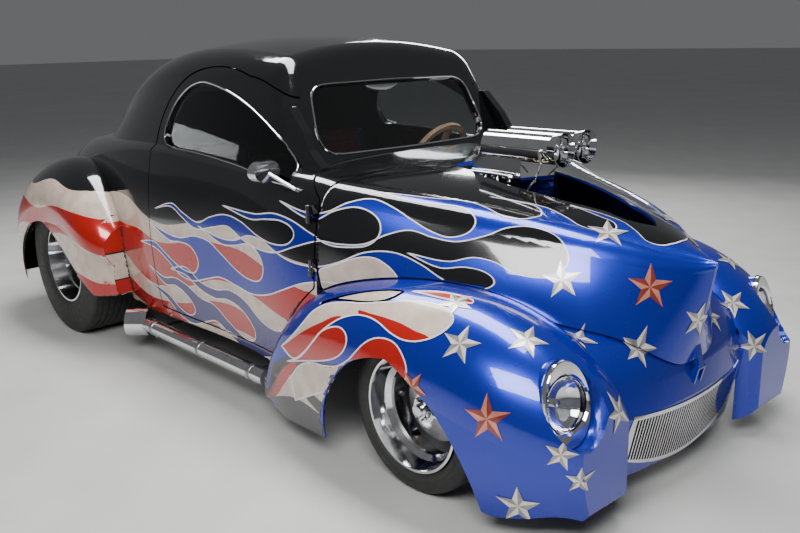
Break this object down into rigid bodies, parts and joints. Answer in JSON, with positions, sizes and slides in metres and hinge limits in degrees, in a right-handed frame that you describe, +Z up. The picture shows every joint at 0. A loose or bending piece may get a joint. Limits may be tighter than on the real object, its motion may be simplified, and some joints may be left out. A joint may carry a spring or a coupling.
{
  "type": "hot rod coupe",
  "caption": "Street-modified 1940s-style coupe with tilt hood over an open blown engine, opening doors and boot, steered front wheels and wide rear tyres.",
  "frame": {"origin": "on the floor under the middle of the car's length and width", "axes": "+X towards the nose, +Y to the car's left, +Z up"},
  "size_m": [4.38, 1.8682, 1.5673],
  "materials": {
    "black_paint": "gloss",
    "blue_paint": "gloss",
    "frame_paint": "satin",
    "chrome": "polished",
    "wheel_alloy": "polished",
    "cast_alloy": "satin",
    "iron": "painted",
    "tyre": "matte",
    "rubber": "matte",
    "glass": "clear",
    "lamp_glass": "clear",
    "red_lens": "gloss",
    "carpet": "matte",
    "leather_red": "satin",
    "leather_tan": "satin"
  },
  "bodies": {
    "car": {"blower": "cast_alloy", "blower_belt": "rubber", "cab_shell": "black_paint", "chassis_frame": "frame_paint", "dash": "leather_tan", "engine_block": "iron", "fender_front_left": "blue_paint", "fender_front_right": "blue_paint", "fender_rear_left": "black_paint", "fender_rear_right": "black_paint", "floor_pan": "carpet", "front_suspension": "frame_paint", "fuel_tank": "cast_alloy", "grille": "chrome", "headlamp_bezels": "chrome", "headlamp_lenses": "lamp_glass", "nose_panel": "blue_paint", "radiator": "cast_alloy", "rear_axle": "frame_paint", "rear_window": "glass", "scoop": "chrome", "seat_backs": "leather_red", "seat_bases": "leather_red", "side_pipes": "chrome", "steering_wheel": "chrome", "tail_lamps": "red_lens", "windshield": "glass"},
    "hood": {"hood": "blue_paint"},
    "boot_lid": {"boot_lid": "black_paint"},
    "door_left": {"door_left": "black_paint", "door_glass_left": "glass"},
    "door_right": {"door_right": "black_paint", "door_glass_right": "glass", "mirror_right": "chrome"},
    "steer_left": {"knuckle_left": "cast_alloy"},
    "steer_right": {"knuckle_right": "cast_alloy"},
    "wheel_front_left": {"wheel_front_left": "wheel_alloy", "tyre_front_left": "tyre"},
    "wheel_front_right": {"wheel_front_right": "wheel_alloy", "tyre_front_right": "tyre"},
    "wheel_rear_left": {"wheel_rear_left": "wheel_alloy", "tyre_rear_left": "tyre"},
    "wheel_rear_right": {"wheel_rear_right": "wheel_alloy", "tyre_rear_right": "tyre"}
  },
  "joints": [
    {"name": "steering_left", "type": "hinge", "parent": "car", "child": "steer_left", "pos_m": [1.5, 0.59, 0.2925], "axis": [0, 0, 1], "range_deg": [-25, 25]},
    {"name": "steering_right", "type": "hinge", "parent": "car", "child": "steer_right", "pos_m": [1.5, -0.59, 0.2925], "axis": [0, 0, 1], "range_deg": [-25, 25]},
    {"name": "roll_front_left", "type": "hinge", "parent": "steer_left", "child": "wheel_front_left", "pos_m": [1.5, 0.691, 0.2925], "axis": [0, 1, 0], "continuous": true},
    {"name": "roll_front_right", "type": "hinge", "parent": "steer_right", "child": "wheel_front_right", "pos_m": [1.5, -0.691, 0.2925], "axis": [0, 1, 0], "continuous": true},
    {"name": "roll_rear_left", "type": "hinge", "parent": "car", "child": "wheel_rear_left", "pos_m": [-1.142, 0.6, 0.3885], "axis": [0, 1, 0], "continuous": true},
    {"name": "roll_rear_right", "type": "hinge", "parent": "car", "child": "wheel_rear_right", "pos_m": [-1.142, -0.6, 0.3885], "axis": [0, 1, 0], "continuous": true},
    {"name": "door_left_hinge", "type": "hinge", "parent": "car", "child": "door_left", "pos_m": [0.969, 0.772, 0.8], "axis": [0, 0, -1], "range_deg": [0, 62]},
    {"name": "door_right_hinge", "type": "hinge", "parent": "car", "child": "door_right", "pos_m": [0.969, -0.772, 0.8], "axis": [0, 0, 1], "range_deg": [0, 62]},
    {"name": "hood_hinge", "type": "hinge", "parent": "car", "child": "hood", "pos_m": [2.152, 0, 0.424], "axis": [0, 1, 0], "range_deg": [0, 55]},
    {"name": "boot_hinge", "type": "hinge", "parent": "car", "child": "boot_lid", "pos_m": [-1.565, 0, 1.052], "axis": [0, 1, 0], "range_deg": [0, 60]}
  ],
  "couplings": [
    {"joint": "steering_right", "follows": "steering_left", "ratio": 1}
  ]
}
